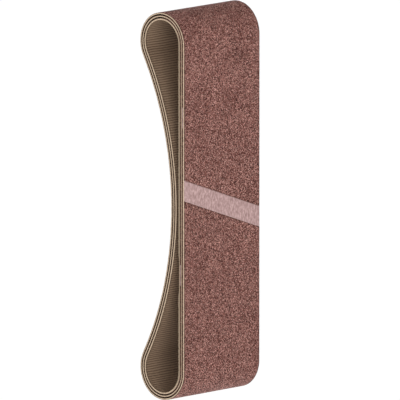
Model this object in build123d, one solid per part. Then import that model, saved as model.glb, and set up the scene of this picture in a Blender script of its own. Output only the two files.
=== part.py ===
from build123d import *

import math
import os

# A pack of three sanding belts, nested one inside the other and hung by their top loops.
#
# Frame: +X points out of the flat working side, Y runs across the belts' width and +Z up along
# the pack. The origin is where a peg carries the pack: mid-width, on the inside of the innermost
# belt's top loop, at its crown. All sizes are in millimetres.
#
# Every belt follows the same profile in the XZ plane. The front is one straight run. A round
# loop turns it over at the top and at the bottom, and the back leaves each loop along a short
# straight leg and bends inwards to a waist at mid-height. All runs meet tangentially, so a belt
# that lies deeper in the pack is the same profile with every radius changed by its depth.

# the belt: a 3 x 24 inch size, 76.2 wide and nominally 609.6 round the inside of the cloth
WIDTH = 76.2
GRAIN = 0.3  # thickness of the grain and its resin
CLOTH = 0.75  # thickness of the woven backing
BELT_PITCH = 2.0  # from one belt's working face to the next one's

# the outermost working face
HEIGHT = 277.6
LOOP_RADIUS = 21.76
WAIST_DEPTH = 12.92  # from the front face to the working face at the waist
LEG_LENGTH = 6.95  # straight run between a loop and the bend of the waist

# the splice that closes each belt, a diagonal strip across its front
SPLICE_RISE = 27.6  # how far the strip falls from the near edge, -Y, to the far edge, +Y
FILM_HEIGHT = 14.9  # along Z
FILM_RECESS = 0.15  # below the working face
TAPE_HEIGHT = 20.0  # along Z
TAPE = 0.14  # thickness, on the inside of the cloth
SLIT = 0.25  # between the two ends of the cloth, along Z
SPLICE_OFFSETS = {"outer": 0.0, "middle": 52.0, "inner": -61.0}  # above mid-height

BELTS = ["outer", "middle", "inner"]
BELT = GRAIN + CLOTH
STACK = BELT_PITCH * (len(BELTS) - 1) + BELT

# the profile's centres, with X measured from the front face and Z from mid-height
LOOP_X = -LOOP_RADIUS
LOOP_Z = HEIGHT / 2 - LOOP_RADIUS

# from the profile's own axes to the pack's origin
FRONT_X = LOOP_RADIUS
MIDDLE_Z = STACK - HEIGHT / 2


def waist_radius(lean):
    """Radius of the waist's bend that a leg leaning by this angle meets, ending at mid-height."""
    return (LOOP_Z - LOOP_RADIUS * math.sin(lean) - LEG_LENGTH * math.cos(lean)) / math.sin(lean)


def waist_error(lean):
    """How far the waist lies in front of its stated depth, for a leg leaning by this angle."""
    loop_back = LOOP_X - LOOP_RADIUS * math.cos(lean)
    leg_end = loop_back + LEG_LENGTH * math.sin(lean)
    return leg_end + waist_radius(lean) * (1 - math.cos(lean)) + WAIST_DEPTH


def solve_lean():
    """The leg's angle from the vertical that puts the waist at its stated depth."""
    low, high = math.radians(2), math.radians(60)
    for _ in range(60):
        middle = (low + high) / 2
        if waist_error(low) * waist_error(middle) <= 0:
            high = middle
        else:
            low = middle
    return (low + high) / 2


LEAN = solve_lean()
WAIST_RADIUS = waist_radius(LEAN)
WAIST_X = -WAIST_DEPTH - WAIST_RADIUS


def arc(centre, radius, start, end):
    """An arc about a centre, from one angle to another, in radians from +X."""
    def at(angle):
        return (centre[0] + radius * math.cos(angle), centre[1] + radius * math.sin(angle))

    return ThreePointArc(at(start), at((start + end) / 2), at(end))


def profile(depth):
    """The closed area inside the profile that lies this deep under the outermost working face."""
    loop = LOOP_RADIUS - depth
    waist = WAIST_RADIUS + depth
    front = Line((-depth, -LOOP_Z), (-depth, LOOP_Z))
    top = arc((LOOP_X, LOOP_Z), loop, 0, math.pi + LEAN)
    bend = arc((WAIST_X, 0), waist, LEAN, -LEAN)
    bottom = arc((LOOP_X, -LOOP_Z), loop, math.pi - LEAN, 2 * math.pi)
    upper_leg = Line(top @ 1, bend @ 0)
    lower_leg = Line(bend @ 1, bottom @ 0)
    return make_face(front + top + upper_leg + bend + lower_leg + bottom)


def band(outer_depth, inner_depth):
    """A closed band between two depths, across the full width of the belts."""
    ring = profile(outer_depth) - profile(inner_depth)
    placed = Plane.XZ * Pos(FRONT_X, MIDDLE_Z) * ring
    return extrude(placed, amount=WIDTH / 2, both=True)


def splice_strip(belt, height):
    """A slanting slab through the front run of one belt, as tall as the strip of its splice."""
    reach = WIDTH / 2 + 5
    half_fall = SPLICE_RISE * reach / WIDTH
    half_height = height / 2
    corners = [
        (-reach, half_fall - half_height),
        (reach, -half_fall - half_height),
        (reach, -half_fall + half_height),
        (-reach, half_fall + half_height),
    ]
    outline = make_face(Polyline(*corners, close=True))
    centre = Pos(0, MIDDLE_Z + SPLICE_OFFSETS[belt])
    behind_front = Plane.YZ.offset(FRONT_X - STACK - TAPE)
    return extrude(behind_front * centre * outline, amount=STACK + 2 * TAPE)


def belt_pieces(belt):
    """The four solids of one belt, by the name of their node."""
    face = BELTS.index(belt) * BELT_PITCH
    cloth_top = face + GRAIN
    cloth_back = cloth_top + CLOTH
    film_slab = splice_strip(belt, FILM_HEIGHT)
    tape_slab = splice_strip(belt, TAPE_HEIGHT)
    slit_slab = splice_strip(belt, SLIT)
    return {
        f"{belt}_grain_coat": band(face, cloth_top) - film_slab,
        f"{belt}_cloth_backing": band(cloth_top, cloth_back) - slit_slab,
        f"{belt}_splice_film": band(face + FILM_RECESS, cloth_top) & film_slab,
        f"{belt}_splice_tape": band(cloth_back, cloth_back + TAPE) & tape_slab,
    }


def main():
    os.makedirs("parts", exist_ok=True)
    for belt in BELTS:
        for node, shape in belt_pieces(belt).items():
            solid = shape.solid()
            export_step(solid, f"parts/{node}.step")
    loop_arcs = 2 * (math.pi + LEAN) * (LOOP_RADIUS - BELT)
    waist_arc = 2 * LEAN * (WAIST_RADIUS + BELT)
    length = 2 * LOOP_Z + loop_arcs + 2 * LEG_LENGTH + waist_arc
    print(f"outer belt {length:.1f} round the inside, waist bend radius {WAIST_RADIUS:.1f}")


if __name__ == "__main__":
    main()
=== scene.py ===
import math

import bpy
import numpy as np
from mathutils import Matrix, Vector


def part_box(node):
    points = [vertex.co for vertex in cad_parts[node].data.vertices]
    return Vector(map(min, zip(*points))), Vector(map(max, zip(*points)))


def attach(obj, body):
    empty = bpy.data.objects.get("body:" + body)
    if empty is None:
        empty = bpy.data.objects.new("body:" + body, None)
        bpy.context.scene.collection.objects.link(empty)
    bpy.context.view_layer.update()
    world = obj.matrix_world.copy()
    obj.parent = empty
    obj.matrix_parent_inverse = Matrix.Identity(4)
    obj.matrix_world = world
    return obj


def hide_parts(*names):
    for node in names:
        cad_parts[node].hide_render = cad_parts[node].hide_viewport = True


# The looks of a pack of three nested sanding belts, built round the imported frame.
#
# Every belt follows one profile in the XZ plane: a straight front, a round loop at the top and
# at the bottom, and a back that leaves each loop along a short leg and bends in to a waist at
# mid-height. A surface deeper in the pack is the same profile with its radii changed by its
# depth, which is always measured inwards from the outermost working face.

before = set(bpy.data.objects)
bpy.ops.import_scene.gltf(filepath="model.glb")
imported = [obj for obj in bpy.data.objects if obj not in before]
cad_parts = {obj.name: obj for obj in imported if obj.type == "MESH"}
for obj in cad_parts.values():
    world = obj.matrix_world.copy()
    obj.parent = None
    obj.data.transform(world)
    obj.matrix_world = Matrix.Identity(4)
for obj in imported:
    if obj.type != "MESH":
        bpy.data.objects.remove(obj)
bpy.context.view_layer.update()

MM = 0.001
BELTS = ["outer", "middle", "inner"]

# what the frame's boxes don't say about the profile and the splice
WAIST_DEPTH = 12.92 * MM
LEG_LENGTH = 6.95 * MM
FILM_HEIGHT = 14.9 * MM  # along Z; the strip slants across the front
TAPE_HEIGHT = 20.0 * MM
SLIT = 0.25 * MM

# the grain coat
GRAIN_SIZE = 0.38 * MM
GRAIN_STEP = 0.72 * MM  # spacing of its vertices
GRAIN_JITTER = 0.5  # how far a vertex strays from its place, in steps
GRAIN_RELIEF = 0.16 * MM  # from the hollows to the highest grains
GRAIN_PROUD = 0.06 * MM  # how far the highest grains stand over the nominal face
GRAIN_RIM = 0.15 * MM  # how far the worn corner of a cut edge reaches
GRAIN_EDGE_SHADE = 1.4 * MM  # painted shade: how far in from a cut edge the grain is darker, where it lies in the gaps between the belts
FILM_RAGGED = 0.5 * MM  # how unevenly the grain stops at the film
FILM_SIDE_SHADE = (0.5, 0.3)  # painted shade beside the film: how much of its colour height each of the two rows beside the film loses, which darkens it

# the cloth
CLOTH_STEP = 2.4 * MM  # spacing of its vertices across the belt
RIB_PITCH = 1.75 * MM  # its cross ribs
RIB_RELIEF = 0.18 * MM
RIB_SAMPLES = 6  # rows of vertices to a rib
RIB_WANDER = 0.35 * MM  # how far a rib strays from a straight line
THREAD_PITCH = 0.8 * MM  # the finer threads along the belt
SQUARE_AFTER = 60 * MM  # from the slit, where its rows slant, to where they are square to the belt
CLOTH_EDGE_SHADE = 1.3 * MM  # painted shade: how far in from a cut edge the cloth is darker, where it lies in the gaps between the belts
# how far the fibres of a cut edge stand up on the inside, round the loops and on the straight
# front; only the inner belt's have room
BURR = {"outer": (0.1 * MM, 0.1 * MM), "middle": (0.1 * MM, 0.1 * MM), "inner": (0.35 * MM, 1.1 * MM)}
BURR_FADE = 20 * MM  # how far into the loops the front's burr dies away
TAPE_HOLD = 5 * MM  # past the tape, which holds the fibres down, to where they stand up fully
# painted light and shade on the cloth's cut edge on the straight front: a painted highlight on the outer
# belt's, painted shade on the middle and inner belts', which the outer one would shade
FRONT_EDGE_LIGHT_SHADE = {"outer": (240, 214, 186), "middle": (182, 159, 134), "inner": (166, 147, 124)}
FRONT_LIGHT_SHADE_FADE = (1 * MM, 17 * MM)  # where, past the straight front, that painted light and shade gives way to bare fibre

# the strips and every piece
STRIP_STEP = (0.6 * MM, 0.7 * MM)  # spacing of a splice strip's vertices, along and across the belt
PLAIN_COLUMNS = 10  # columns of vertices on a piece's hidden side
EDGE_FRAY = 0.07 * MM  # how unevenly the cut edges run
GRID_TURN = (0.6, 0.9, 0.4)  # turns the textures, so that no face lies along their own grid

# the picture: where the camera stands, in degrees, and what it takes in
VIEW_AZIMUTH = 44.4
VIEW_ELEVATION = 9.86
VIEW_WIDTH = 283.2 * MM  # at the middle of the pack
LENS = 1600.0  # in millimetres, as the sensor is; very long, so that the picture has no perspective
SENSOR = 36.0

# the studio, in metres
FLOOR_DROP = 0.9  # from the pack's lower end
FLOOR_SIZE = 60.0
SURROUND = 0.32  # how strongly the studio's walls light the pack
SOFTBOX_SIZE = 1.2
SOFTBOX_DISTANCE = 2.4
# each softbox's direction from the pack, and its power
SOFTBOXES = {
    "key": ((1.0, -0.6, 0.05), 22.5),
    "top": ((0.0, 0.0, 1.0), 13.0),
    "near": ((0.45, -1.0, 0.4), 12.0),
    "rear": ((-1.0, 0.45, 0.35), 9.0),
}


# ---------------------------------------------------------------- the profile


class Pack:
    """The outermost profile, read from the frame."""

    low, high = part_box("outer_grain_coat")
    centre = (low + high) / 2
    radius = (high.x - low.x) / 2
    height = high.z - low.z
    width = high.y - low.y
    front_x = high.x
    middle_z = centre.z
    loop_z = height / 2 - radius

    @classmethod
    def waist_radius(cls, lean):
        """Radius of the waist's bend that a leg leaning by this angle meets at mid-height."""
        drop = cls.radius * math.sin(lean) + LEG_LENGTH * math.cos(lean)
        return (cls.loop_z - drop) / math.sin(lean)

    @classmethod
    def waist_error(cls, lean):
        """How far the waist lies in front of its stated depth, for a leg leaning by this angle."""
        leg_end = -cls.radius * (1 + math.cos(lean)) + LEG_LENGTH * math.sin(lean)
        return leg_end + cls.waist_radius(lean) * (1 - math.cos(lean)) + WAIST_DEPTH

    @classmethod
    def solve_lean(cls):
        """The leg's angle from the vertical that puts the waist at its stated depth."""
        low, high = math.radians(2), math.radians(60)
        for _ in range(60):
            middle = (low + high) / 2
            if cls.waist_error(low) * cls.waist_error(middle) <= 0:
                high = middle
            else:
                low = middle
        return (low + high) / 2


LEAN = Pack.solve_lean()
WAIST_RADIUS = Pack.waist_radius(LEAN)


class Profile:
    """The closed profile at one depth, followed by arc length from the middle of the front, up."""

    def __init__(self, depth):
        self.depth = depth
        loop = Pack.radius - depth
        bend = WAIST_RADIUS + depth
        half_turn = math.pi + LEAN
        waist_x = -WAIST_DEPTH - WAIST_RADIUS
        # each run: its kind and length, then a line's start and direction, or an arc's centre with
        # its radius and its first angle with the side that it turns to
        top_leg = self._on_arc(-Pack.radius, Pack.loop_z, loop, half_turn)
        low_leg = self._on_arc(waist_x, 0.0, bend, -LEAN)
        self.runs = [
            ("line", Pack.loop_z, (-depth, 0.0), math.pi / 2),
            ("arc", half_turn * loop, (-Pack.radius, Pack.loop_z, loop), (0.0, 1)),
            ("line", LEG_LENGTH, top_leg, LEAN - math.pi / 2),
            ("arc", 2 * LEAN * bend, (waist_x, 0.0, bend), (LEAN, -1)),
            ("line", LEG_LENGTH, low_leg, -LEAN - math.pi / 2),
            ("arc", half_turn * loop, (-Pack.radius, -Pack.loop_z, loop), (math.pi - LEAN, 1)),
            ("line", Pack.loop_z, (-depth, -Pack.loop_z), math.pi / 2),
        ]
        self.length = sum(run[1] for run in self.runs)

    @staticmethod
    def _on_arc(x, z, radius, angle):
        return (x + radius * math.cos(angle), z + radius * math.sin(angle))

    def at(self, s):
        """X, Z and the outward normal's X and Z, in the pack's own frame, at arc lengths s."""
        s = np.mod(s, self.length)
        x, z, nx, nz = (np.zeros_like(s) for _ in range(4))
        start = 0.0
        for kind, length, place, course in self.runs:
            here = (s >= start) & (s <= start + length)
            along = s[here] - start
            if kind == "line":
                x[here] = place[0] + along * math.cos(course)
                z[here] = place[1] + along * math.sin(course)
                nx[here] = math.sin(course)
                nz[here] = -math.cos(course)
            else:
                first, side = course
                angle = first + side * along / place[2]
                x[here] = place[0] + place[2] * np.cos(angle)
                z[here] = place[1] + place[2] * np.sin(angle)
                nx[here] = side * np.cos(angle)
                nz[here] = side * np.sin(angle)
            start += length
        return x + Pack.front_x, z + Pack.middle_z, nx, nz

    def points(self, s, y, depth):
        """Positions at arc lengths s and widths y, at an absolute depth in the pack."""
        x, z, nx, nz = self.at(s)
        sunk = depth - self.depth
        return np.stack([x - nx * sunk, y, z - nz * sunk], axis=-1)


class Belt:
    """One belt's depths and the height of its splice, read from the frame."""

    def __init__(self, name):
        self.name = name
        grain_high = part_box(f"{name}_grain_coat")[1]
        cloth_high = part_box(f"{name}_cloth_backing")[1]
        tape_low, tape_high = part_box(f"{name}_splice_tape")
        film_low, film_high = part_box(f"{name}_splice_film")
        self.face = Pack.front_x - grain_high.x
        self.cloth_top = Pack.front_x - cloth_high.x
        self.cloth_back = Pack.front_x - tape_high.x
        self.tape_back = Pack.front_x - tape_low.x
        self.film_face = Pack.front_x - film_high.x
        self.splice_s = (film_low.z + film_high.z) / 2 - Pack.middle_z
        self.slope = (film_high.z - film_low.z - FILM_HEIGHT) / Pack.width
        self.profile = Profile((self.cloth_top + self.cloth_back) / 2)

    def splice_line(self, y):
        """Arc length of the splice's middle at a width y: it falls from the near edge."""
        return self.splice_s - self.slope * y


# ---------------------------------------------------------------- noise


def blurred(values, times=1):
    """Values on a grid, smoothed with their neighbours."""
    for _ in range(times):
        for axis in (0, 1):
            values = (np.roll(values, 1, axis) + 2 * values + np.roll(values, -1, axis)) / 4
    return values


def soft_noise(rows, columns, row_cells, column_cells, rng):
    """Smooth noise from 0 to 1 over a grid, with about so many cells each way."""
    coarse = rng.random((row_cells + 3, column_cells + 3))

    def weights(count, cells):
        t = np.linspace(0, cells, count, endpoint=False)
        base = np.floor(t).astype(int)
        part = t - base
        return base, part * part * (3 - 2 * part)

    r, fr = weights(rows, row_cells)
    c, fc = weights(columns, column_cells)
    fr, fc = fr[:, None], fc[None, :]
    top = coarse[r][:, c] * (1 - fc) + coarse[r][:, c + 1] * fc
    low = coarse[r + 1][:, c] * (1 - fc) + coarse[r + 1][:, c + 1] * fc
    return top * (1 - fr) + low * fr


# ---------------------------------------------------------------- meshes


def strip_shell(name, detail, plain, weave, materials, facing_out, rim=0):
    """A closed shell from a detailed side and a plain one.

    detail and plain are grids of points, rows along the belt and columns across it, with as
    many rows each. weave gives every detailed point its place along and across the belt, for
    the materials. The two sides take the first material. The cut edges and ends take the
    second, with the rim: this many of the detailed side's outermost columns of faces.
    """
    rows = len(detail)
    front = np.arange(rows * detail.shape[1]).reshape(rows, -1)
    back = front.size + np.arange(rows * plain.shape[1]).reshape(rows, -1)

    def quads(grid):
        return np.stack([grid[:-1, :-1], grid[:-1, 1:], grid[1:, 1:], grid[1:, :-1]], -1).reshape(-1, 4)

    sides = np.concatenate([quads(front), quads(back[:, ::-1])])
    near = quads(np.stack([back[:, 0], front[:, 0]], 1))
    far = quads(np.stack([front[:, -1], back[:, -1]], 1))
    ends = [back[0].tolist() + front[0, ::-1].tolist(), back[-1, ::-1].tolist() + front[-1].tolist()]
    faces = sides.tolist() + near.tolist() + far.tolist() + ends
    if not facing_out:
        faces = [face[::-1] for face in faces]
    mesh = bpy.data.meshes.new(name)
    mesh.from_pydata(np.concatenate([detail.reshape(-1, 3), plain.reshape(-1, 3)]).tolist(), [], faces)
    for material in materials:
        mesh.materials.append(material)
    is_cut = np.arange(len(faces)) >= len(sides)
    mesh.polygons.foreach_set("use_smooth", ~is_cut)
    if rim:
        # a view of the detailed side's faces, by row and column
        border = is_cut[: (rows - 1) * (detail.shape[1] - 1)].reshape(rows - 1, -1)
        border[:, :rim] = True
        border[:, -rim:] = True
    mesh.polygons.foreach_set("material_index", is_cut.astype(np.int32))
    borders = weave[:, np.linspace(0, weave.shape[1] - 1, plain.shape[1]).astype(int)]
    places = np.concatenate([weave.reshape(-1, 2), borders.reshape(-1, 2)]).astype(np.float32)
    corners = np.zeros(len(mesh.loops), np.int32)
    mesh.loops.foreach_get("vertex_index", corners)
    mesh.uv_layers.new(name="weave").data.foreach_set("uv", places[corners].ravel())
    mesh.update()
    piece = bpy.data.objects.new(name, mesh)
    bpy.context.scene.collection.objects.link(piece)
    return piece


def plain_side(belt, s, y, depth):
    """The smooth side of a strip, on a few of its columns."""
    kept = np.linspace(0, s.shape[1] - 1, PLAIN_COLUMNS).astype(int)
    return belt.profile.points(s[:, kept], y[:, kept], depth)


def frayed(rows, rng, reach):
    """An uneven line along a cut edge."""
    return (blurred(rng.random((rows, 1)))[:, 0] * 2 - 1) * reach


def place_piece(piece, belt, kind):
    """Puts a finished piece in its CAD node's stead."""
    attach(piece, f"{belt.name}_belt")
    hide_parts(f"{belt.name}_{kind}")


def widths(step):
    """Places across the belt, from the near edge to the far one."""
    return np.linspace(-Pack.width / 2, Pack.width / 2, round(Pack.width / step) + 1)


def grain_coat(belt, materials, rng):
    """The coat of grain, from the top of the splice film round to its bottom."""
    inner = widths(GRAIN_STEP * 1.02) * (1 - 2 * GRAIN_RIM / Pack.width)
    across = np.concatenate([[-Pack.width / 2], inner, [Pack.width / 2]])
    run = belt.profile.length - FILM_HEIGHT
    along = np.linspace(0, run, round(run / GRAIN_STEP) + 1)
    rows, columns = len(along), len(across)
    y = np.tile(across, (rows, 1))
    y[:, 2:-2] += (rng.random((rows, columns - 4)) - 0.5) * GRAIN_STEP * GRAIN_JITTER
    y[:, 0] -= frayed(rows, rng, EDGE_FRAY)
    y[:, -1] += frayed(rows, rng, EDGE_FRAY)
    s = belt.splice_line(y) + FILM_HEIGHT / 2 + along[:, None]
    s[1:-1] += (rng.random((rows - 2, columns)) - 0.5) * GRAIN_STEP * GRAIN_JITTER
    s[0] += (rng.random(columns) - 0.2) * FILM_RAGGED
    s[-1] -= (rng.random(columns) - 0.2) * FILM_RAGGED
    # how deep each point lies, from 0 on the highest grain to 1 in a hollow, a little like its
    # neighbours
    sunk = rng.random((rows, columns)) ** 1.4
    sunk = 0.75 * sunk + 0.25 * blurred(sunk, 2)
    depth = belt.face - GRAIN_PROUD + GRAIN_RELIEF * sunk
    for edge in (0, -1):
        depth[:, edge] += GRAIN_RIM * (0.5 + 0.5 * rng.random(rows))
        depth[edge] += GRAIN_RIM * 0.3
    detail = belt.profile.points(s, y, depth)
    plain = plain_side(belt, s, y, belt.cloth_top)
    weave = np.stack([s, y], -1)
    piece = strip_shell(f"{belt.name}_grain", detail, plain, weave, materials, True, rim=1)
    height = 1 - sunk
    # painted shade: the two rows beside the film get a lower colour height, so a darker colour
    for row, shade_drop in enumerate(FILM_SIDE_SHADE):
        height[[row, -1 - row]] -= shade_drop
    height = np.concatenate([height.ravel(), np.full(plain.shape[0] * plain.shape[1], 0.5)])
    attribute = piece.data.attributes.new("grain_height", "FLOAT", "POINT")
    attribute.data.foreach_set("value", height.astype(np.float32))
    place_piece(piece, belt, "grain_coat")
    return piece


def burr_along(belt, s, from_end):
    """How far the fibres of a cut edge stand up at arc lengths s: none where the tape holds them."""
    half = belt.profile.length / 2
    from_middle = np.abs(np.mod(s + half, 2 * half) - half)
    on_front = np.clip((Pack.loop_z + BURR_FADE - from_middle) / BURR_FADE, 0, 1)
    free = np.clip((from_end - TAPE_HEIGHT / 2) / TAPE_HOLD, 0, 1)
    loops, front = BURR[belt.name]
    return free * (loops + (front - loops) * on_front)


def cloth_backing(belt, materials, rng):
    """The woven strip, ribbed on its inside, with a diagonal slit under the splice."""
    inner = widths(CLOTH_STEP) * (1 - 2 * BURR[belt.name][0] / Pack.width)
    across = np.concatenate([[-Pack.width / 2], inner, [Pack.width / 2]])
    run = belt.profile.length - SLIT
    ribs = round(run / RIB_PITCH)
    along = np.linspace(0, run, ribs * RIB_SAMPLES + 1)
    rows, columns = len(along), len(across)
    y = np.tile(across, (rows, 1))
    # the rows are parallel to the slit beside it, and square to the belt further on
    from_end = np.minimum(along, run - along)
    slanted = np.clip((SQUARE_AFTER - from_end) / (SQUARE_AFTER - TAPE_HEIGHT / 2), 0, 1)
    slanted = slanted * slanted * (3 - 2 * slanted)
    s = belt.splice_s + SLIT / 2 + along[:, None] - belt.slope * y * slanted[:, None]
    y[:, 0] -= frayed(rows, rng, EDGE_FRAY)
    y[:, -1] += frayed(rows, rng, EDGE_FRAY)
    wander = (soft_noise(rows, columns, 120, 9, rng) - 0.5) * RIB_WANDER
    phase = (s - belt.splice_s + wander) / RIB_PITCH * 2 * math.pi
    strength = (1 - slanted[:, None]) * (0.75 + 0.25 * soft_noise(rows, columns, 300, 18, rng))
    relief = RIB_RELIEF * strength * (0.5 - 0.5 * np.cos(phase))
    burr = burr_along(belt, s[:, 0], from_end)
    for edge in (0, -1):
        relief[:, edge] -= burr * (0.4 + 0.6 * rng.random(rows))
    detail = belt.profile.points(s, y, belt.cloth_back - relief)
    plain = plain_side(belt, s, y, belt.cloth_top)
    weave = np.stack([s - belt.splice_s + wander, y], -1)
    piece = strip_shell(f"{belt.name}_cloth", detail, plain, weave, materials, False, rim=1)
    place_piece(piece, belt, "cloth_backing")
    return piece


def splice_strip(belt, kind, height, face, back, facing_out, materials, rng):
    """A thin strip that slants across the front: the film outside or the tape inside."""
    step_along, step_across = STRIP_STEP
    across = widths(step_across)
    along = np.linspace(-height / 2, height / 2, round(height / step_along) + 1)
    rows, columns = len(along), len(across)
    y = np.tile(across, (rows, 1))
    y[:, 0] -= frayed(rows, rng, EDGE_FRAY * 0.6)
    y[:, -1] += frayed(rows, rng, EDGE_FRAY * 0.6)
    s = belt.splice_line(y) + along[:, None]
    thickness = abs(back - face)
    ripple = blurred(soft_noise(rows, columns, 6, 60, rng))
    inwards = 1 if facing_out else -1
    depth = face + inwards * thickness * 0.25 * ripple
    detail = belt.profile.points(s, y, depth)
    plain = plain_side(belt, s, y, back)
    weave = np.stack([s - belt.splice_line(y), y], -1)
    piece = strip_shell(f"{belt.name}_{kind}", detail, plain, weave, materials, facing_out)
    place_piece(piece, belt, f"splice_{kind}")
    return piece


# ---------------------------------------------------------------- materials


def linear(red, green, blue):
    """A colour given as 0 to 255 display values, as the shaders take it."""
    def curve(value):
        value /= 255
        return value / 12.92 if value <= 0.04045 else ((value + 0.055) / 1.055) ** 2.4

    return (curve(red), curve(green), curve(blue), 1.0)


class Shader:
    """A material with a Principled shader and short ways to add nodes to it."""

    def __init__(self, name, roughness, specular=0.25):
        self.material = bpy.data.materials.new(name)
        self.material.use_nodes = True
        self.tree = self.material.node_tree
        self.surface = self.tree.nodes["Principled BSDF"]
        self.surface.inputs["Roughness"].default_value = roughness
        self.surface.inputs["Specular IOR Level"].default_value = specular

    def node(self, kind, inputs=None, **settings):
        """A new node. inputs takes values or other nodes' outputs, by input name or number."""
        made = self.tree.nodes.new(kind)
        for key, value in settings.items():
            setattr(made, key, value)
        for key, value in (inputs or {}).items():
            if isinstance(value, bpy.types.NodeSocket):
                self.tree.links.new(value, made.inputs[key])
            else:
                made.inputs[key].default_value = value
        return made

    def math(self, operation, first, second=0.0):
        made = self.node("ShaderNodeMath", {0: first, 1: second}, operation=operation)
        return made.outputs[0]

    def ramp(self, factor, stops):
        """Colours along a factor, as (position, colour) pairs."""
        made = self.node("ShaderNodeValToRGB", {"Fac": factor})
        elements = made.color_ramp.elements
        while len(elements) < len(stops):
            elements.new(0.5)
        for element, (position, colour) in zip(elements, stops):
            element.position = position
            element.color = colour
        return made.outputs["Color"]

    def mix(self, factor, first, second, blend="MIX"):
        made = self.node("ShaderNodeMix", data_type="RGBA", blend_type=blend)
        for socket, value in ((made.inputs[0], factor), (made.inputs[6], first), (made.inputs[7], second)):
            if isinstance(value, bpy.types.NodeSocket):
                self.tree.links.new(value, socket)
            else:
                socket.default_value = value
        return made.outputs[2]

    def place(self):
        """Object coordinates, in metres, turned so that no face lies along a texture's own grid."""
        turned = {"Vector": self.node("ShaderNodeTexCoord").outputs["Object"], "Rotation": GRID_TURN}
        return self.node("ShaderNodeMapping", turned).outputs["Vector"]

    def weave(self):
        """Places along and across the belt, in metres, as two outputs."""
        read = self.node("ShaderNodeUVMap", uv_map="weave").outputs["UV"]
        split = self.node("ShaderNodeSeparateXYZ", {0: read})
        return split.outputs[0], split.outputs[1]

    def noise(self, vector, size, detail=2.0, roughness=0.5):
        """Noise whose cells are about this size, in metres."""
        made = self.node(
            "ShaderNodeTexNoise",
            {"Vector": vector, "Scale": 1 / size, "Detail": detail, "Roughness": roughness},
        )
        return made.outputs["Fac"]

    def cells(self, vector, size):
        """Cells of about this size, in metres, each with a colour and a distance of its own."""
        return self.node("ShaderNodeTexVoronoi", {"Vector": vector, "Scale": 1 / size})

    def colour(self, socket):
        self.tree.links.new(socket, self.surface.inputs["Base Color"])

    def rough(self, socket):
        self.tree.links.new(socket, self.surface.inputs["Roughness"])

    def bump(self, height, distance, strength=1.0):
        made = self.node("ShaderNodeBump", {"Height": height, "Distance": distance, "Strength": strength})
        self.tree.links.new(made.outputs["Normal"], self.surface.inputs["Normal"])


def near_edge(shader, across, reach):
    """1 at a cut edge, falling to 0 this far in from it."""
    inset = shader.math("SUBTRACT", Pack.width / 2, shader.math("ABSOLUTE", across))
    made = shader.node("ShaderNodeMapRange", {0: inset, 1: 0.0, 2: reach, 3: 1.0, 4: 0.0})
    return made.outputs[0]


def grain_material():
    """Brown-red abrasive grain: every grain its own tone, darker resin between, with painted shade near the
    cut edges, beside the film and in the hollows.
    """
    shader = Shader("grain", 0.8, 0.2)
    place = shader.place()
    grains = shader.cells(place, GRAIN_SIZE)
    tone = shader.node("ShaderNodeSeparateColor", {0: grains.outputs["Color"]}).outputs[0]
    fine = shader.cells(place, GRAIN_SIZE * 0.5)
    fine_tone = shader.node("ShaderNodeSeparateColor", {0: fine.outputs["Color"]}).outputs[0]
    height = shader.node("ShaderNodeAttribute", attribute_name="grain_height").outputs["Fac"]
    blend = shader.math("ADD", shader.math("MULTIPLY", tone, 0.65), shader.math("MULTIPLY", fine_tone, 0.25))
    # painted shade: the lower a point lies among the grains, the darker its colour
    blend = shader.math("ADD", blend, shader.math("MULTIPLY", height, 0.10))
    patches = shader.noise(place, 14 * MM, 3.0)
    blend = shader.math("ADD", blend, shader.math("MULTIPLY", shader.math("SUBTRACT", patches, 0.5), 0.1))
    base = shader.ramp(
        blend,
        [
            (0.145, linear(10, 2, 1)),
            (0.405, linear(65, 27, 22)),
            (0.565, linear(122, 70, 62)),
            (0.705, linear(181, 124, 113)),
            (0.865, linear(253, 202, 188)),
        ],
    )
    crevice = shader.node(
        "ShaderNodeMapRange", {0: grains.outputs["Distance"], 1: 0.45, 2: 0.8, 3: 0.0, 4: 0.6}
    ).outputs[0]
    base = shader.mix(crevice, base, linear(66, 38, 32))
    _, across = shader.weave()
    # painted shade near the cut edges, where the grain lies in the gaps between the belts
    edge_shade = shader.math("MULTIPLY", near_edge(shader, across, GRAIN_EDGE_SHADE), 0.5)
    shader.colour(shader.mix(edge_shade, base, linear(46, 30, 24)))
    shader.rough(shader.math("ADD", shader.math("MULTIPLY", tone, 0.3), 0.6))
    shader.bump(shader.math("SUBTRACT", fine_tone, grains.outputs["Distance"]), 0.1 * MM, 0.5)
    return shader.material


def grain_cut_material():
    """The cut edge of the grain coat: dark resin with broken grain in it."""
    shader = Shader("grain_cut", 0.85)
    place = shader.place()
    tone = shader.noise(place, 0.8 * MM, 3.0, 0.7)
    shader.colour(shader.ramp(tone, [(0.3, linear(72, 50, 40)), (0.7, linear(124, 94, 80))]))
    return shader.material


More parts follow.
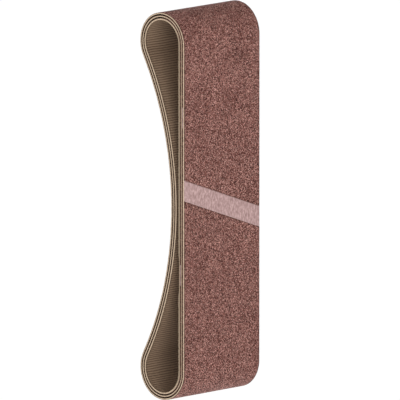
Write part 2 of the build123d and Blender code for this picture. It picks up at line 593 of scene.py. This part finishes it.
def cloth_material():
    """Brown resin-filled cloth, ribbed across the belt with finer threads along it, with painted shade in the
    rib valleys and near the cut edges.
    """
    shader = Shader("cloth", 0.8)
    along, across = shader.weave()
    place = shader.place()
    # painted shade: the colour is darker in the rib valleys and lighter on their crests
    turns = shader.math("MULTIPLY", along, 2 * math.pi / RIB_PITCH)
    rib = shader.math("COSINE", turns)
    rib = shader.math("ADD", shader.math("MULTIPLY", rib, 0.5), 0.5)
    threads = shader.math("SINE", shader.math("MULTIPLY", across, 2 * math.pi / THREAD_PITCH))
    threads = shader.math("MULTIPLY", threads, 0.06)
    fibres = shader.noise(place, 0.5 * MM, 3.0, 0.7)
    patches = shader.noise(place, 18 * MM, 2.0)
    tone = shader.math("ADD", shader.math("MULTIPLY", rib, 0.5), threads)
    tone = shader.math("ADD", tone, shader.math("MULTIPLY", fibres, 0.35))
    tone = shader.math("ADD", tone, shader.math("MULTIPLY", patches, 0.15))
    base = shader.ramp(
        tone,
        [
            (0.15, linear(88, 69, 54)),
            (0.5, linear(133, 110, 90)),
            (0.9, linear(162, 138, 115)),
        ],
    )
    # painted shade near the cut edges, where the cloth lies in the gaps between the belts
    edge_shade = shader.math("MULTIPLY", near_edge(shader, across, CLOTH_EDGE_SHADE), 0.8)
    shader.colour(shader.mix(edge_shade, base, linear(46, 36, 26)))
    shader.bump(shader.math("ADD", rib, shader.math("MULTIPLY", fibres, 0.5)), 0.1 * MM, 0.6)
    return shader.material


def cloth_cut_material(belt):
    """A cloth's cut edge: bare cream fibre, darker between thread ends, with painted light and shade on the
    front.
    """
    shader = Shader(f"{belt.name}_cloth_cut", 0.9)
    fibre = shader.noise(shader.place(), 0.7 * MM, 3.0, 0.7)
    bare = shader.ramp(fibre, [(0.3, linear(168, 147, 124)), (0.7, linear(222, 198, 171))])
    # painted highlight on the outer belt's edge, painted shade on the middle and inner belts' edges
    lit_and_shaded = shader.ramp(fibre, [(0.1, linear(60, 50, 40)), (0.6, linear(*FRONT_EDGE_LIGHT_SHADE[belt.name]))])
    along, _ = shader.weave()
    s = shader.math("ADD", along, belt.splice_s)
    from_middle = shader.math("PINGPONG", s, belt.profile.length / 2)
    start, end = (Pack.loop_z + reach for reach in FRONT_LIGHT_SHADE_FADE)
    front = {0: from_middle, 1: start, 2: end, 3: 1.0, 4: 0.0}
    on_front = shader.node("ShaderNodeMapRange", front).outputs[0]
    shader.colour(shader.mix(on_front, bare, lit_and_shaded))
    return shader.material


def film_material():
    """The pale pink film over the splice, with faint streaks along the belt."""
    shader = Shader("splice_film", 0.6, 0.35)
    along, across = shader.weave()
    stretched = shader.node(
        "ShaderNodeCombineXYZ", {0: shader.math("MULTIPLY", along, 0.4), 1: across}
    ).outputs[0]
    streaks = shader.noise(stretched, 1.4 * MM, 3.0, 0.6)
    mottle = shader.noise(shader.place(), 1.6 * MM, 2.0)
    tone = shader.math("ADD", shader.math("MULTIPLY", streaks, 0.7), shader.math("MULTIPLY", mottle, 0.3))
    base = shader.ramp(
        tone,
        [
            (0.3, linear(135, 104, 101)),
            (0.5, linear(177, 145, 142)),
            (0.7, linear(216, 184, 181)),
        ],
    )
    shader.colour(base)
    shader.bump(streaks, 0.05 * MM, 0.5)
    return shader.material


def tape_material():
    """The thin tan tape glued over the slit on the inside."""
    shader = Shader("splice_tape", 0.45, 0.4)
    along, across = shader.weave()
    crossed = shader.node("ShaderNodeCombineXYZ", {0: along, 1: across}).outputs[0]
    tone = shader.noise(crossed, 0.9 * MM, 3.0, 0.6)
    shader.colour(shader.ramp(tone, [(0.3, linear(150, 128, 100)), (0.7, linear(176, 154, 124))]))
    return shader.material


# ---------------------------------------------------------------- the scene


def build_belts():
    grain = [grain_material(), grain_cut_material()]
    weave = cloth_material()
    film = [film_material(), grain[1]]
    tape = tape_material()
    for number, name in enumerate(BELTS):
        belt = Belt(name)
        cut = cloth_cut_material(belt)
        rng = np.random.default_rng(11 + number)
        carried = [
            grain_coat(belt, grain, rng),
            splice_strip(belt, "film", FILM_HEIGHT, belt.film_face, belt.cloth_top, True, film, rng),
            splice_strip(belt, "tape", TAPE_HEIGHT, belt.tape_back, belt.cloth_back, False, [tape, cut], rng),
        ]
        cloth = cloth_backing(belt, [weave, cut], rng)


def floor():
    """A plain white floor, well under the hanging pack, lit evenly enough to give no shadow."""
    level = Pack.low.z - FLOOR_DROP
    half = FLOOR_SIZE / 2
    corners = [(-half, -half, level), (half, -half, level), (half, half, level), (-half, half, level)]
    mesh = bpy.data.meshes.new("floor")
    mesh.from_pydata(corners, [], [(0, 1, 2, 3)])
    shader = Shader("floor", 0.9, 0.0)
    shader.surface.inputs["Base Color"].default_value = (0.05, 0.05, 0.05, 1)
    shader.surface.inputs["Emission Color"].default_value = (1, 1, 1, 1)
    shader.surface.inputs["Emission Strength"].default_value = 1.0
    mesh.materials.append(shader.material)
    made = bpy.data.objects.new("floor", mesh)
    bpy.context.scene.collection.objects.link(made)


def lights():
    """An even pale surround, with soft lights on every side of the pack and overhead."""
    scene = bpy.context.scene
    world = bpy.data.worlds.new("studio")
    world.use_nodes = True
    tree = world.node_tree
    backdrop = tree.nodes["Background"]
    backdrop.inputs["Color"].default_value = (1, 1, 1, 1)
    # the studio's walls look as white as the floor, and light the pack as SURROUND says
    seen = tree.nodes.new("ShaderNodeLightPath").outputs["Is Camera Ray"]
    level = tree.nodes.new("ShaderNodeMapRange")
    level.inputs["To Min"].default_value = SURROUND
    tree.links.new(seen, level.inputs["Value"])
    tree.links.new(level.outputs["Result"], backdrop.inputs["Strength"])
    scene.world = world
    scene.view_settings.view_transform = "Standard"
    for name, (towards, power) in SOFTBOXES.items():
        softbox(name, towards, power)


def softbox(name, towards, power):
    """A large square light that faces the middle of the pack."""
    lamp = bpy.data.lights.new(name, "AREA")
    lamp.shape = "SQUARE"
    lamp.size = SOFTBOX_SIZE
    lamp.energy = power
    made = bpy.data.objects.new(name, lamp)
    away = Vector(towards).normalized()
    made.location = Pack.centre + away * SOFTBOX_DISTANCE
    made.rotation_mode = "QUATERNION"
    made.rotation_quaternion = (-away).to_track_quat("-Z", "Y")
    bpy.context.scene.collection.objects.link(made)


def camera():
    """The picture's own view, from the working side and the near edge, on the pack's middle."""
    azimuth, elevation = math.radians(VIEW_AZIMUTH), math.radians(VIEW_ELEVATION)
    back = Vector((math.sin(azimuth), -math.cos(azimuth), 0)) * math.cos(elevation)
    back.z = math.sin(elevation)
    lens = bpy.data.cameras.new("camera")
    lens.lens = LENS
    lens.sensor_width = SENSOR
    distance = VIEW_WIDTH * LENS / SENSOR
    lens.clip_start = 0.1
    lens.clip_end = distance * 4
    made = bpy.data.objects.new("camera", lens)
    made.location = Pack.centre + back * distance
    made.rotation_mode = "QUATERNION"
    made.rotation_quaternion = (-back).to_track_quat("-Z", "Y")
    bpy.context.scene.collection.objects.link(made)
    bpy.context.scene.camera = made


camera()
lights()
floor()
build_belts()
